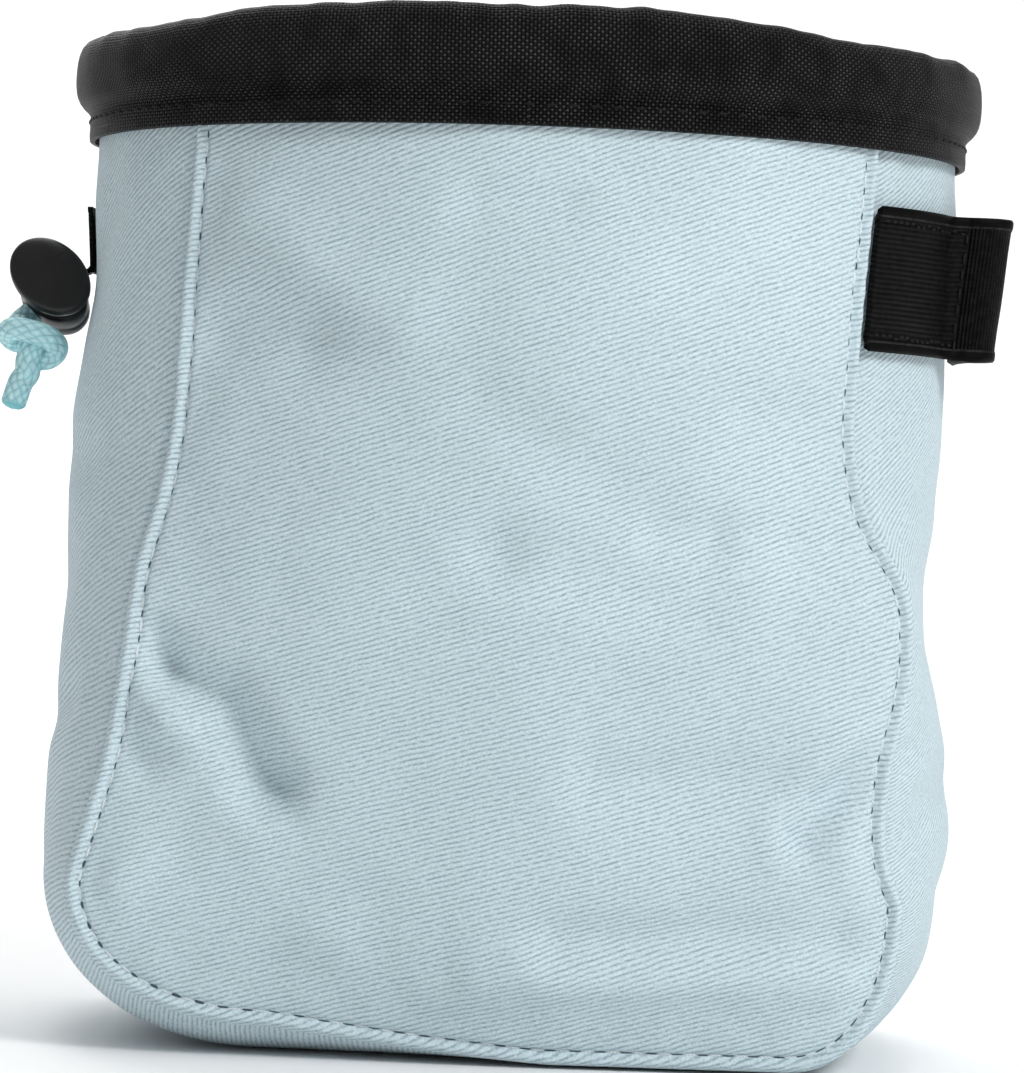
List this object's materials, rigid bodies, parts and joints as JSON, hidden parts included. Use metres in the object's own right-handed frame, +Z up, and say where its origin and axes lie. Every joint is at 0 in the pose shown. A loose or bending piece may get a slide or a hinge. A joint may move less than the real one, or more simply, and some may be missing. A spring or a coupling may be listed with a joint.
{
  "type": "climbing chalk bag",
  "caption": "Soft drawstring chalk bag with a flat base, rolled black rim, side brush loop, belt loop and cord lock.",
  "frame": {"origin": "on the floor, under the middle of the bag's mouth", "axes": "+Z up, front panel faces -Y, brush loop on +X, cord lock on -X"},
  "size_m": [0.1706, 0.1244, 0.165],
  "materials": {
    "twill": "matt woven twill",
    "rim_cloth": "coarse plain weave",
    "elastic": "ribbed elastic",
    "webbing": "woven tape",
    "lock_plastic": "finely textured moulding",
    "cord": "braided sheath"
  },
  "bodies": {
    "bag": {"front_panel": "twill", "back_panel": "twill", "side_gusset": "twill", "rim_collar": "rim_cloth", "brush_loop": "elastic", "belt_loop": "webbing", "lock_tab": "webbing", "lock_barrel": "lock_plastic", "draw_cord": "cord", "cord_knot": "cord", "cord_tail": "cord"},
    "lock_button": {"lock_plunger": "lock_plastic"}
  },
  "joints": [
    {"name": "lock_press", "type": "slide", "parent": "bag", "child": "lock_button", "axis": [0, 0.9292, -0.3697], "range_m": [0, 0.0026], "stiffness_N_per_m": 600, "springref_m": -0.002}
  ]
}
